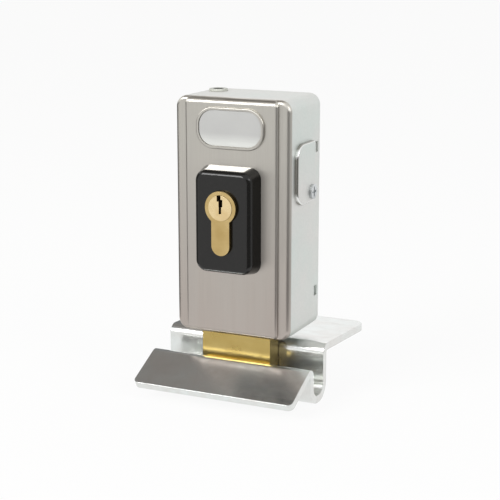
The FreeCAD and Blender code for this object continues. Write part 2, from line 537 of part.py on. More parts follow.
# One coil of round wire from the pocket floor up to the bridge
def spring(name, side):
    body = doc.addObject("PartDesign::Body", name)
    wire = body.newObject("Sketcher::SketchObject", name + "_wire")
    wire.AttachmentSupport = [(plane(body, "XZ_Plane"), "")]
    wire.MapMode = "FlatFace"
    wire.addGeometry(Part.Circle(V(3, 1, 0), V(0, 0, 1), 0.5), False)
    for kind, text in (("DistanceX", "spring_radius"), ("DistanceY", "spring_wire / 2 + 0.3")):
        index = wire.addConstraint(Sketcher.Constraint(kind, -1, 1, 0, 3, 1.0))
        bind(wire, f"Constraints[{index}]", text)
    index = wire.addConstraint(Sketcher.Constraint("Radius", 0, 0.5))
    bind(wire, f"Constraints[{index}]", "spring_wire / 2")
    coil = body.newObject("PartDesign::AdditiveHelix", name + "_coil")
    coil.Profile = wire
    coil.ReferenceAxis = (wire, ["V_Axis"])
    coil.Mode = 0
    bind(coil, "Pitch", "spring_pitch")
    bind(coil, "Height", f"bridge_z - {BOLT_TOP} + spring_pocket - spring_wire - 0.6")
    return move(body, f"{side} * {SPRING_X}", BOLT_MIDDLE, f"{BOLT_TOP} - spring_pocket")


def bolt_springs():
    return fuse("bolt_springs", [spring(f"spring_{side + 1}", side) for side in (-1, 1)])


# The lever is drawn level from its pivot and then turned down by half its swing
def lever():
    reach, half = LEVER_REACH, "(lever_width / 2)"
    depth = ("-lever_sheet / 2", "lever_sheet / 2")
    end = f"({reach} / cos({LEVER_ANGLE}))"
    bar = block("lever_bar", ("0", end), depth, (f"-{half}", half))
    eyes = [rod(f"lever_eye_{k}", "y", (x, "-lever_sheet / 2", "0"), half, "lever_sheet")
            for k, x in enumerate(("0", end))]
    pivot = rod("lever_pivot_hole", "y", ("0", "-lever_sheet", "0"), "pivot_size / 2 + running_gap",
                "2 * lever_sheet")
    ways = []
    for k, (pin, x) in enumerate((("plunger_pin_size", f"({reach} / 2)"), ("lift_pin_size", reach))):
        gap = f"({pin} / 2 + slot_play)"
        first, last = f"({x} - slot_play)", f"({x} / cos({LEVER_ANGLE}) + slot_play)"
        ways.append(block(f"lever_way_{k}", (first, last), ("-lever_sheet", "lever_sheet"), (f"-{gap}", gap)))
        ways += [rod(f"lever_way_end_{k}_{n}", "y", (at, "-lever_sheet", "0"), gap, "2 * lever_sheet")
                 for n, at in enumerate((first, last))]
    arm = cut("lever", fuse("lever_blank", [bar] + eyes), [pivot] + ways)
    arm.Placement.Rotation = FreeCAD.Rotation(V(0, 1, 0), 1)
    bind(arm, "Placement.Rotation.Angle", LEVER_ANGLE)
    return move(arm, "pivot_x", "-lever_y", PIVOT_Z)


def lever_pivot():
    rear, front = "(-lever_y + lever_sheet / 2)", "(-lever_y - lever_sheet / 2)"
    shoulder = rod("pivot_post", "y", ("pivot_x", f"{rear} + running_gap", PIVOT_Z), "pivot_shoulder / 2",
                   f"-back_thick - ({rear} + running_gap)")
    shaft = rod("pivot_shaft", "y", ("pivot_x", f"{front} - fit_gap", PIVOT_Z), "pivot_size / 2",
                "lever_sheet + fit_gap + 1")
    head = rod("pivot_head", "y", ("pivot_x", f"{front} - fit_gap - 1.2", PIVOT_Z), "pivot_shoulder / 2",
               "1.2")
    return fuse("lever_pivot", [shoulder, shaft, head])


TERMINAL_X = "(terminal_side - body_width / 2)"
ENTRY_X = "(entry_side - body_width / 2)"
BOBBIN_LOW = "(yoke_low + yoke_sheet)"
BOBBIN_HIGH = "(body_height / 2 - wall - yoke_head - yoke_sheet)"


def solenoid_frame():
    left = f"({PLUNGER_X} - bobbin_flange - yoke_clear - yoke_sheet)"
    right = f"({PLUNGER_X} + bobbin_flange + yoke_clear)"
    depth = ("-yoke_front", "-back_thick")
    web = block("yoke_web", (left, f"{left} + yoke_sheet"), depth, ("yoke_low", YOKE_HIGH))
    low = block("yoke_leg_low", (left, right), depth, ("yoke_low", "yoke_low + yoke_sheet"))
    high = block("yoke_leg_high", (left, right), depth, (BOBBIN_HIGH, YOKE_HIGH))
    core = rod("yoke_core", "z", (PLUNGER_X, "-tongue_y", f"{BOBBIN_HIGH} - core_length"),
               "plunger_size / 2", "core_length + yoke_sheet")
    way = rod("yoke_way", "z", (PLUNGER_X, "-tongue_y", "yoke_low - 1"),
              "plunger_size / 2 + 2 * running_gap",
              "yoke_sheet + 2")
    return cut("solenoid_frame", fuse("yoke_whole", [web, low, high, core]), [way])


def bobbin_parts():
    base = (PLUNGER_X, "-tongue_y", BOBBIN_LOW)
    height = f"{BOBBIN_HIGH} - {BOBBIN_LOW}"
    tube = "(plunger_size / 2 + running_gap + bobbin_wall)"
    barrel = rod("bobbin_barrel", "z", base, tube, height)
    low = rod("bobbin_rim_low", "z", base, "bobbin_flange", "1")
    high = rod("bobbin_rim_high", "z", (PLUNGER_X, "-tongue_y", f"{BOBBIN_HIGH} - 1"), "bobbin_flange", "1")
    bore = rod("bobbin_bore", "z", (PLUNGER_X, "-tongue_y", f"{BOBBIN_LOW} - 1"),
               "plunger_size / 2 + running_gap", f"{height} + 2")
    bobbin = cut("solenoid_bobbin", fuse("bobbin_whole", [barrel, low, high]), [bore])
    outer = rod("coil_outer", "z", (PLUNGER_X, "-tongue_y", f"{BOBBIN_LOW} + 1"), "coil_radius",
                f"{height} - 2")
    inner = rod("coil_inner", "z", (PLUNGER_X, "-tongue_y", BOBBIN_LOW), tube, height)
    return bobbin, cut("solenoid_coil", outer, [inner])


def plunger():
    neck = "(key_z + profile_round + 1)"
    body = rod("plunger_rod", "z", (PLUNGER_X, "-tongue_y", neck), "plunger_size / 2",
               f"{PLUNGER_TOP} - {neck}")
    tongue = block("plunger_tongue",
                   (f"{PLUNGER_X} - plunger_size / 2 + 0.5", f"{PLUNGER_X} + plunger_size / 2 - 0.5"),
                   ("-tongue_y - tongue_thick / 2", "-tongue_y + tongue_thick / 2"),
                   (f"{PLUNGER_PIN_Z} - plunger_size / 2 + 0.5", f"{neck} + 1"))
    hole = rod("plunger_hole", "y", (PLUNGER_X, "-tongue_y - tongue_thick", PLUNGER_PIN_Z),
               "plunger_pin_size / 2 + fit_gap / 3", "2 * tongue_thick")
    return cut("plunger", fuse("plunger_whole", [body, tongue]), [hole])


def plunger_pin():
    start = "(-tongue_y - tongue_thick / 2)"
    return rod("plunger_pin", "y", (PLUNGER_X, start, PLUNGER_PIN_Z), "plunger_pin_size / 2",
               f"-lever_y + lever_sheet / 2 + 0.5 - {start}")


def terminal_parts():
    front = "(-back_thick - terminal_depth)"
    half = "(terminal_width / 2)"
    housing = block("terminal_housing", (f"{TERMINAL_X} - {half}", f"{TERMINAL_X} + {half}"),
                    (front, "-back_thick"),
                    ("terminal_low", "terminal_high"))
    step = block("terminal_step", (f"{TERMINAL_X} - {half} - 1", f"{TERMINAL_X} + {half} + 1"),
                 (f"{front} - 1", f"{front} + terminal_depth / 4"), ("terminal_low - 1",
                                                                     "terminal_low + 4"))
    cuts, screws = [step], []
    for k in (-1, 1):
        x = f"({TERMINAL_X} + {k} * terminal_width / 4)"
        z = "((terminal_low + terminal_high) / 2 + 1.5)"
        cuts.append(rod(f"terminal_well_{k}", "y", (x, f"{front} - 1", z), "terminal_screw / 2 + 0.4", "4"))
        cuts.append(rod(f"wire_way_{k}", "z", (x, "-back_thick - terminal_depth / 3", "terminal_low - 1"),
                        "wire_hole / 2", "terminal_high - terminal_low + 2"))
        head = rod(f"clamp_head_{k}", "y", (x, f"{front} + 1", z), "terminal_screw / 2", "2")
        groove = block(f"clamp_groove_{k}", (f"{x} - 2.5", f"{x} + 2.5"), (f"{front}", f"{front} + 1.7"),
                       (f"{z} - 0.35", f"{z} + 0.35"))
        screws.append(cut(f"clamp_screw_{k}", head, [groove]))
    return cut("terminal_block", housing, cuts), fuse("terminal_screws", screws)


def cable_grommet():
    low = f"({TOP} - wall - rim_thick)"
    neck = rod("grommet_body", "z", (ENTRY_X, "-entry_y", low), "grommet_neck / 2 - fit_gap / 3",
               "wall + 2 * rim_thick")
    rims = [rod(f"grommet_rim_{k}", "z", (ENTRY_X, "-entry_y", z), "grommet_rim / 2", "rim_thick")
            for k, z in enumerate((low, TOP))]
    bore = rod("grommet_bore", "z", (ENTRY_X, "-entry_y", f"{low} - 1"), "entry_bore / 2",
               "wall + 2 * rim_thick + 2")
    return cut("cable_grommet", fuse("grommet_whole", [neck] + rims), [bore])


def side_plate():
    outline = rectangle(("side_inset - body_depth", "-side_rear"), ("side_low", "side_high"))
    plate = prism("side_blank", "YZ_Plane", "body_width / 2", "side_thick", outline)
    middle = -(value("body_depth - side_inset") + value("side_rear")) / 2
    dress(plate, "Fillet", "side_corner", along("x", lambda c: c.y < middle))
    dress(plate, "Fillet", "side_corner / 3", along("x", lambda c: c.y > middle))
    dress(plate, "Fillet", "side_edge", in_plane("x", "body_width / 2 + side_thick"))
    hole = rod("side_plate_hole", "x", ("body_width / 2 - 1", "-side_screw_y", "side_screw_z"),
               "side_screw_size / 2 + fit_gap", "side_thick + 2")
    return cut("side_plate", plate, [hole])


def side_screw():
    face = ("body_width / 2 + side_thick", "-side_screw_y", "side_screw_z")
    parts = screw("side_fixing", "x", face, "side_screw_head / 2", "side_screw_rise",
                  "side_screw_size / 2", "side_thick + wall + 2", 1)
    depth = (f"{face[0]} + side_screw_rise / 3", f"{face[0]} + 2 * side_screw_rise")
    wide, narrow = "(side_screw_head / 3)", "(recess_width / 2)"
    recess = [block(f"side_recess_{k}", depth, (f"{face[1]} - {y}", f"{face[1]} + {y}"),
                    (f"{face[2]} - {z}", f"{face[2]} + {z}"))
              for k, (y, z) in enumerate(((wide, narrow), (narrow, wide)))]
    return cut("side_screw", fuse("side_screw_whole", parts), recess)


def cover_screws():
    parts = []
    for k in (-1, 1):
        at = (f"{k} * {COVER_SCREW_X}", COVER_SCREW_Y, FLOOR)
        parts.append(cone(f"cover_screw_head_{k}", "z", at, "cover_screw_head", "cover_screw_hole / 2",
                          "wall"))
        parts.append(rod(f"cover_screw_shank_{k}", "z", at, "cover_screw_hole / 2 - fit_gap / 3",
                         "wall + cover_sheet + 1.5"))
    return fuse("cover_screws", parts)


# The strike is one bent plate: a ramp up to the crest, a trough for the bolt and a fixing flange.
# Its outline in side view goes round the upper face and back along the lower one.
def floor_strike():
    outer = "(bend_inner + strike_thick)"
    stop, lip = WALL_FACE, f"({WALL_FACE} - trough_width)"
    crest = f"({GROUND} + crest_rise - {outer} + {outer} * (1 / cos(ramp_angle) + tan(ramp_angle)))"
    floor = f"({GROUND} + strike_thick)"
    flange = f"({GROUND} + flange_rise)"
    flange_end = f"({flange} - (flange_reach - {stop}) * tan(flange_fall))"
    drop = "(strike_thick / cos(flange_fall))"
    tip_y = f"({lip} - ramp_reach)"
    tip_z = f"({crest} - ramp_reach * tan(ramp_angle))"
    under = f"({crest} - strike_thick * tan(ramp_angle) - strike_thick / cos(ramp_angle))"
    corners = [(tip_y, tip_z), (lip, crest), (lip, floor), (stop, floor), (stop, flange),
               ("flange_reach", flange_end), ("flange_reach", f"{flange_end} - {drop}"),
               (f"{stop} + strike_thick", f"{flange} - strike_thick * tan(flange_fall) - {drop}"),
               (f"{stop} + strike_thick", GROUND),
               (f"{lip} - strike_thick", GROUND), (f"{lip} - strike_thick", under),
               (f"{tip_y} + strike_thick * sin(ramp_angle)", f"{tip_z} - strike_thick * cos(ramp_angle)")]
    plate = prism("strike_blank", "YZ_Plane", "-strike_length / 2", "strike_length", corners)
    spots = [(value(y), value(z)) for y, z in corners]

    def at(*numbers):
        chosen = [spots[n] for n in numbers]
        return along("x", lambda c: any(abs(c.y - y) + abs(c.z - z) < 0.01 for y, z in chosen))

    dress(plate, "Fillet", "trough_round", at(2, 3))
    dress(plate, "Fillet", "trough_round + strike_thick", at(8, 9))
    dress(plate, "Fillet", "bend_inner", at(7, 10))
    dress(plate, "Fillet", outer, at(1, 4))
    rear, front = value("flange_reach"), value(tip_y)
    dress(plate, "Fillet", "flange_corner", along("z", lambda c: c.y > rear - 0.01))
    thick = value("strike_thick")

    def ramp_tip(edge):
        across = abs(edge.tangentAt(edge.FirstParameter).x) < 0.01
        return across and edge.Length < thick + 0.01 and edge.CenterOfMass.y < front + thick

    dress(plate, "Fillet", "ramp_corner", ramp_tip)
    holes = [rod(f"strike_hole_{k}", "z",
                 (f"{k} * strike_hole_x / 2", "strike_hole_y", f"{flange} - 4 * strike_thick"),
                 "strike_hole / 2", "5 * strike_thick") for k in (-1, 1)]
    return cut("floor_strike", plate, holes)


bobbin, coil = bobbin_parts()
terminal_housing, terminal_clamps = terminal_parts()
nodes = {
    "back_box": back_box(), "back_plate": back_plate(), "front_cover": front_cover(),
    "name_plate": name_plate(), "escutcheon": escutcheon(), "escutcheon_screws": escutcheon_screws(),
    "cylinder_body": cylinder_body(), "cylinder_plug": cylinder_plug(), "cylinder_cam": cylinder_cam(),
    "cylinder_screw": cylinder_screw(), "bolt": bolt(), "bolt_rivets": bolt_rivets(),
    "lift_plate": lift_plate(), "lift_pin": lift_pin(), "bolt_guide": bolt_guide(),
    "spring_bridge": spring_bridge(), "spring_pins": spring_pins(), "bolt_springs": bolt_springs(),
    "lever": lever(), "lever_pivot": lever_pivot(), "solenoid_frame": solenoid_frame(),
    "solenoid_bobbin": bobbin, "solenoid_coil": coil, "plunger": plunger(), "plunger_pin": plunger_pin(),
    "terminal_block": terminal_housing, "terminal_screws": terminal_clamps,
    "cable_grommet": cable_grommet(), "side_plate": side_plate(), "side_screw": side_screw(),
    "cover_screws": cover_screws(), "floor_strike": floor_strike(),
}
doc.recompute()

faults = [item.Name for item in doc.Objects if "Invalid" in item.State or "Error" in item.State]
if faults:
    raise RuntimeError("objects with errors: " + ", ".join(faults))
os.makedirs("parts", exist_ok=True)
for name, item in nodes.items():
    item.Label = name
    shape = item.Shape
    if shape.isNull() or not shape.isValid() or not shape.Solids:
        raise RuntimeError(name + " has no valid solid")
    shape.exportStep(f"parts/{name}.step")
    box = shape.BoundBox
    print(f"{name}: {len(shape.Solids)} solids, {shape.Volume / 1000:.2f} cm3, x {box.XMin:.1f} {box.XMax:.1f}, "
          f"y {box.YMin:.1f} {box.YMax:.1f}, z {box.ZMin:.1f} {box.ZMax:.1f}")
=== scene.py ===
import json
import math

import bmesh
import bpy
from mathutils import Matrix, Vector


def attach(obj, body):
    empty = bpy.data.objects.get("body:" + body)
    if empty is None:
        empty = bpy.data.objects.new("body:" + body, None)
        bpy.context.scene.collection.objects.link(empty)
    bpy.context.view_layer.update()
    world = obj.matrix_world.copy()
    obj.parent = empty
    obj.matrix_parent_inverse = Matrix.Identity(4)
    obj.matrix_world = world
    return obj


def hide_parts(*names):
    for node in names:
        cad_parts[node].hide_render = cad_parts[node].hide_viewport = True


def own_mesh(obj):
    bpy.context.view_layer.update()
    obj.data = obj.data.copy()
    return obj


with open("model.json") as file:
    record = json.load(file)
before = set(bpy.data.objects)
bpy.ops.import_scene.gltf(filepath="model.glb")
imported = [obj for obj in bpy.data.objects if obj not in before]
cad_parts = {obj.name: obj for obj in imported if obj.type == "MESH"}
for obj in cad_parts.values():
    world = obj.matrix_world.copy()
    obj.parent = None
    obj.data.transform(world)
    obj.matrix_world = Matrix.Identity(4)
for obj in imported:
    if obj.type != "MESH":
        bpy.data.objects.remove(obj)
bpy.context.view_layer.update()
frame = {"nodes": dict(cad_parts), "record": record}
nodes = frame["nodes"]
print("frame loaded:", len(nodes), "solids")

mm = 0.001  # one millimetre in scene units

# Sockets of a Mix node set to colours: its share, its two colours and its result.
mixShare, firstColour, secondColour, mixedColour = 0, 6, 7, 2

# A noise texture gives values of about 0.3 to 0.7. These Map Range settings spread them out: all of
# them, all but the lowest, or only the middle ones.
allNoise = {"From Min": 0.3, "From Max": 0.7}
raisedNoise = {"From Min": 0.35, "From Max": 0.7}
middleNoise = {"From Min": 0.35, "From Max": 0.65}


def linearColour(hexText):
    # sRGB hex, as read off a colour card, to the linear values that shaders use
    values = [int(hexText[i:i + 2], 16) / 255 for i in (1, 3, 5)]
    return [v / 12.92 if v <= 0.04045 else ((v + 0.055) / 1.055) ** 2.4 for v in values] + [1.0]


def addNode(tree, kind, settings=None, links=None):
    # settings are properties or socket values by name or number, links are outputs by socket
    node = tree.nodes.new(kind)
    for name, value in (settings or {}).items():
        if isinstance(name, int) or name in node.inputs.keys():
            node.inputs[name].default_value = value
        else:
            setattr(node, name, value)
    for name, output in (links or {}).items():
        tree.links.new(output, node.inputs[name])
    return node


def startTree(owner):
    # an empty node tree for a material or a world
    owner.use_nodes = True
    owner.node_tree.nodes.clear()
    return owner.node_tree


def startMaterial(name):
    # also gives the object coordinates that the patterns read
    material = bpy.data.materials.new(name)
    tree = startTree(material)
    return material, tree, addNode(tree, "ShaderNodeTexCoord").outputs["Object"]


def closeMaterial(tree, settings, links):
    shader = addNode(tree, "ShaderNodeBsdfPrincipled", settings, links)
    addNode(tree, "ShaderNodeOutputMaterial", links={"Surface": shader.outputs[0]})


# Stainless sheet, grade 304, ground along its height with a 180 grit belt: fine upright hairlines
# and a satin sheen that streaks up and down in roughness, with lighter streaks of painted sheen in
# its colour. Warm grey, darker and a little rosier low down by painted shade. The hairlines are
# drawn 0.5 mm wide, since the real ones, of about 0.1 mm, are too fine to show.
stainlessSheet = {
    "upper": "#C3C0B8", "lower": "#B4AAA3", "fadeFrom": 45 * mm, "fadeTo": -60 * mm,
    "hairline": "#A7A29B", "hairWidth": 0.5 * mm, "hairRun": (1, 1, 0.02), "hairShare": 0.22,
    "hairDepth": 0.005 * mm, "paintedSheenColour": "#CCC9C3", "streakWidth": 7 * mm, "streakRun": (1, 1, 0.04),
    "paintedSheenShare": 0.2, "smooth": 0.29, "rough": 0.37, "metallic": 1.0, "spread": 0.8,
}


def brushedStainless(name, options):
    material, tree, place = startMaterial(name)
    fine = addNode(tree, "ShaderNodeMapping", {"Scale": options["hairRun"]},
                   {"Vector": place}).outputs[0]
    hair = addNode(tree, "ShaderNodeTexNoise", {"Scale": 1 / options["hairWidth"], "Detail": 2.0},
                   {"Vector": fine}).outputs["Fac"]
    long = addNode(tree, "ShaderNodeMapping", {"Scale": options["streakRun"]},
                   {"Vector": place}).outputs[0]
    streak = addNode(tree, "ShaderNodeTexNoise", {"Scale": 1 / options["streakWidth"], "Detail": 2.0},
                     {"Vector": long}).outputs["Fac"]
    height = addNode(tree, "ShaderNodeSeparateXYZ", links={"Vector": place}).outputs["Z"]
    # painted shade: the colour turns darker and rosier towards the bottom
    paintedLowShare = addNode(tree, "ShaderNodeMapRange", {
        "From Min": options["fadeFrom"], "From Max": options["fadeTo"]}, {"Value": height}).outputs[0]
    body = addNode(tree, "ShaderNodeMix", {
        "data_type": "RGBA", firstColour: linearColour(options["upper"]),
        secondColour: linearColour(options["lower"])}, {mixShare: paintedLowShare}).outputs[mixedColour]
    lines = addNode(tree, "ShaderNodeMapRange", {**allNoise, "To Max": options["hairShare"]},
                    {"Value": hair}).outputs[0]
    lined = addNode(tree, "ShaderNodeMix", {
        "data_type": "RGBA", secondColour: linearColour(options["hairline"])},
        {mixShare: lines, firstColour: body}).outputs[mixedColour]
    # painted sheen: lighter streaks in the colour
    bands = addNode(tree, "ShaderNodeMapRange", {**middleNoise, "To Max": options["paintedSheenShare"]},
                    {"Value": streak}).outputs[0]
    colour = addNode(tree, "ShaderNodeMix", {
        "data_type": "RGBA", secondColour: linearColour(options["paintedSheenColour"])},
        {mixShare: bands, firstColour: lined}).outputs[mixedColour]
    sheen = addNode(tree, "ShaderNodeMapRange", {
        **allNoise, "To Min": options["smooth"], "To Max": options["rough"]},
        {"Value": streak}).outputs[0]
    relief = addNode(tree, "ShaderNodeBump", {"Distance": options["hairDepth"]},
                     {"Height": hair}).outputs[0]
    closeMaterial(tree, {"Metallic": options["metallic"], "Anisotropic": options["spread"]},
                  {"Base Color": colour, "Roughness": sheen, "Normal": relief})
    return material


# Aluminium sheet, satin anodised: paler and finer than the cover, greyer across the middle and
# bright towards its lower edge by a painted highlight. Its grain, only just seen, is drawn coarser
# than the real one.
plateSheet = {
    "middle": "#BDBDBB", "lower": "#DCDDD9", "highlightFrom": 44 * mm, "highlightTo": 39 * mm,
    "grain": "#C2C2C0", "grainWidth": 0.4 * mm, "grainRun": (0.05, 1, 1), "grainShare": 0.25,
    "grainDepth": 0.002 * mm, "cloud": 14 * mm, "smooth": 0.34, "rough": 0.42, "metallic": 0.85,
}


def anodisedAluminium(name, options):
    material, tree, place = startMaterial(name)
    fine = addNode(tree, "ShaderNodeMapping", {"Scale": options["grainRun"]},
                   {"Vector": place}).outputs[0]
    grain = addNode(tree, "ShaderNodeTexNoise", {"Scale": 1 / options["grainWidth"], "Detail": 2.0},
                    {"Vector": fine}).outputs["Fac"]
    cloud = addNode(tree, "ShaderNodeTexNoise", {"Scale": 1 / options["cloud"], "Detail": 1.0},
                    {"Vector": place}).outputs["Fac"]
    height = addNode(tree, "ShaderNodeSeparateXYZ", links={"Vector": place}).outputs["Z"]
    # painted highlight: the colour turns brighter towards the lower edge
    paintedLowShare = addNode(tree, "ShaderNodeMapRange", {
        "From Min": options["highlightFrom"], "From Max": options["highlightTo"]}, {"Value": height}).outputs[0]
    body = addNode(tree, "ShaderNodeMix", {
        "data_type": "RGBA", firstColour: linearColour(options["middle"]),
        secondColour: linearColour(options["lower"])}, {mixShare: paintedLowShare}).outputs[mixedColour]
    lines = addNode(tree, "ShaderNodeMapRange", {**allNoise, "To Max": options["grainShare"]},
                    {"Value": grain}).outputs[0]
    colour = addNode(tree, "ShaderNodeMix", {
        "data_type": "RGBA", secondColour: linearColour(options["grain"])},
        {mixShare: lines, firstColour: body}).outputs[mixedColour]
    sheen = addNode(tree, "ShaderNodeMapRange", {
        **allNoise, "To Min": options["smooth"], "To Max": options["rough"]},
        {"Value": cloud}).outputs[0]
    relief = addNode(tree, "ShaderNodeBump", {"Distance": options["grainDepth"]},
                     {"Height": grain}).outputs[0]
    closeMaterial(tree, {"Metallic": options["metallic"]},
                  {"Base Color": colour, "Roughness": sheen, "Normal": relief})
    return material


# Steel sheet and plate with an electroplated zinc coat. The case is passivated, almost matt and
# faintly green.
caseZinc = {
    "cool": "#D5DBD7", "warm": "#DCDBD8", "cloud": 30 * mm, "fleck": "#CBD0CD",
    "fleckSize": 1.2 * mm, "fleckShare": 0.18, "rollMark": 2 * mm, "rollRun": (1, 1, 0.05),
    "relief": 0.02 * mm, "smooth": 0.42, "rough": 0.55, "metallic": 0.75,
}
# The strike is bright and patchy, with soft clouds and long rolling marks.
strikeZinc = {
    "cool": "#E2E6E4", "warm": "#DFDEDB", "cloud": 20 * mm, "fleck": "#B9B6B1",
    "fleckSize": 5 * mm, "fleckShare": 0.18, "rollMark": 3 * mm, "rollRun": (1, 1, 0.05),
    "relief": 0.005 * mm, "smooth": 0.16, "rough": 0.26, "metallic": 0.95,
}


def zincPlate(name, options):
    material, tree, place = startMaterial(name)
    mottle = addNode(tree, "ShaderNodeTexNoise", {
        "Scale": 1 / options["fleckSize"], "Detail": 4.0, "Roughness": 0.6},
        {"Vector": place}).outputs["Fac"]
    cloud = addNode(tree, "ShaderNodeTexNoise", {"Scale": 1 / options["cloud"], "Detail": 2.0},
                    {"Vector": place}).outputs["Fac"]
    long = addNode(tree, "ShaderNodeMapping", {"Scale": options["rollRun"]},
                   {"Vector": place}).outputs[0]
    rolled = addNode(tree, "ShaderNodeTexNoise", {"Scale": 1 / options["rollMark"], "Detail": 2.0},
                     {"Vector": long}).outputs["Fac"]
    patches = addNode(tree, "ShaderNodeMapRange", middleNoise, {"Value": cloud}).outputs[0]
    body = addNode(tree, "ShaderNodeMix", {
        "data_type": "RGBA", firstColour: linearColour(options["cool"]),
        secondColour: linearColour(options["warm"])}, {mixShare: patches}).outputs[mixedColour]
    spots = addNode(tree, "ShaderNodeMapRange", {**raisedNoise, "To Max": options["fleckShare"]},
                    {"Value": mottle}).outputs[0]
    colour = addNode(tree, "ShaderNodeMix", {
        "data_type": "RGBA", secondColour: linearColour(options["fleck"])},
        {mixShare: spots, firstColour: body}).outputs[mixedColour]
    sheen = addNode(tree, "ShaderNodeMapRange", {
        **allNoise, "To Min": options["smooth"], "To Max": options["rough"]},
        {"Value": mottle}).outputs[0]
    coarse = addNode(tree, "ShaderNodeBump", {"Distance": options["relief"]},
                     {"Height": mottle}).outputs[0]
    relief = addNode(tree, "ShaderNodeBump", {"Distance": options["relief"] / 2},
                     {"Height": rolled, "Normal": coarse}).outputs[0]
    closeMaterial(tree, {"Metallic": options["metallic"]},
                  {"Base Color": colour, "Roughness": sheen, "Normal": relief})
    return material


# The punched wall of the side cover plate, bare steel: dark grey where it faces sideways by painted
# shade, and bright where the corners turn by a painted highlight. A turn is how far the wall faces
# up or down, from 0 to 1.
wallPaintedLight = {
    "paintedShadeGrey": "#9E9C96", "paintedHighlightColour": "#E9EAE8", "drag": 0.4 * mm, "dragDepth": 0.01 * mm,
    "turnStarts": 0.08, "turnFull": 0.3, "turnFades": 0.55, "turnEnds": 0.75,
    "roughness": 0.24, "metallic": 1.0,
}


def wallWithPaintedLight(name, options):
    material, tree, place = startMaterial(name)
    outwards = addNode(tree, "ShaderNodeNewGeometry").outputs["Normal"]
    facing = addNode(tree, "ShaderNodeSeparateXYZ", links={"Vector": outwards}).outputs["Z"]
    turning = addNode(tree, "ShaderNodeMath", {"operation": "ABSOLUTE"}, {0: facing}).outputs[0]
    near = addNode(tree, "ShaderNodeMapRange", {
        "From Min": options["turnStarts"], "From Max": options["turnFull"]},
        {"Value": turning}).outputs[0]
    far = addNode(tree, "ShaderNodeMapRange", {
        "From Min": options["turnEnds"], "From Max": options["turnFades"]},
        {"Value": turning}).outputs[0]
    paintedHighlightShare = addNode(tree, "ShaderNodeMath", {"operation": "MULTIPLY"}, {0: near, 1: far}).outputs[0]
    drag = addNode(tree, "ShaderNodeTexNoise", {"Scale": 1 / options["drag"], "Detail": 2.0},
                   {"Vector": place}).outputs["Fac"]
    # painted shade on the upright wall, painted highlight where it turns up or down
    colour = addNode(tree, "ShaderNodeMix", {
        "data_type": "RGBA", firstColour: linearColour(options["paintedShadeGrey"]),
        secondColour: linearColour(options["paintedHighlightColour"])}, {mixShare: paintedHighlightShare}).outputs[mixedColour]
    relief = addNode(tree, "ShaderNodeBump", {"Distance": options["dragDepth"]},
                     {"Height": drag}).outputs[0]
    closeMaterial(tree, {"Metallic": options["metallic"], "Roughness": options["roughness"]},
                  {"Base Color": colour, "Normal": relief})
    return material


# Brass, CuZn39Pb3, with the marks of its tool drawn about 0.5 mm wide, coarser than the real ones.
# The bolt is a drawn bar with a slight wave along its faces.
barBrass = {
    "bright": "#C2AD70", "tarnish": "#AF9656", "run": (0.05, 1, 1), "markWidth": 0.6 * mm,
    "markDepth": 0.003 * mm, "tarnishSize": 20 * mm, "smooth": 0.21, "rough": 0.3,
    "waveRun": (0.3, 1, 1), "waveSize": 6 * mm, "waveDepth": 0.09 * mm, "markShare": 0.3,
}
# The cylinder body is satin ground.
bodyBrass = {
    "bright": "#C9B07B", "tarnish": "#B49A64", "run": (0.05, 1, 1), "markWidth": 0.4 * mm,
    "markDepth": 0.003 * mm, "tarnishSize": 10 * mm, "smooth": 0.26, "rough": 0.36,
    "waveRun": (1, 1, 1), "waveSize": 8 * mm, "waveDepth": 0.02 * mm, "markShare": 0.3,
}
# The plug is turned, so it is the brightest and palest of the three.
plugBrass = {
    "bright": "#E8D2A4", "tarnish": "#D6BC8A", "run": (1, 1, 1), "markWidth": 0.4 * mm,
    "markDepth": 0.003 * mm, "tarnishSize": 5 * mm, "smooth": 0.24, "rough": 0.34,
    "waveRun": (1, 1, 1), "waveSize": 5 * mm, "waveDepth": 0.03 * mm, "markShare": 0.3,
}
# Steel pins, screws and levers, turned or blanked and zinc plated: bluish and a little dull.
partSteel = {
    "bright": "#D2D5D6", "tarnish": "#B2B6B7", "run": (1, 1, 1), "markWidth": 0.5 * mm,
    "markDepth": 0.006 * mm, "tarnishSize": 6 * mm, "smooth": 0.22, "rough": 0.36,
    "waveRun": (1, 1, 1), "waveSize": 6 * mm, "waveDepth": 0.01 * mm, "markShare": 0.3,
}
# Spring wire, cold drawn and oiled: a darker, smoother grey.
wireSteel = {
    "bright": "#9B9DA0", "tarnish": "#707275", "run": (1, 1, 1), "markWidth": 0.5 * mm,
    "markDepth": 0.004 * mm, "tarnishSize": 10 * mm, "smooth": 0.24, "rough": 0.34,
    "waveRun": (1, 1, 1), "waveSize": 6 * mm, "waveDepth": 0.01 * mm, "markShare": 0.3,
}


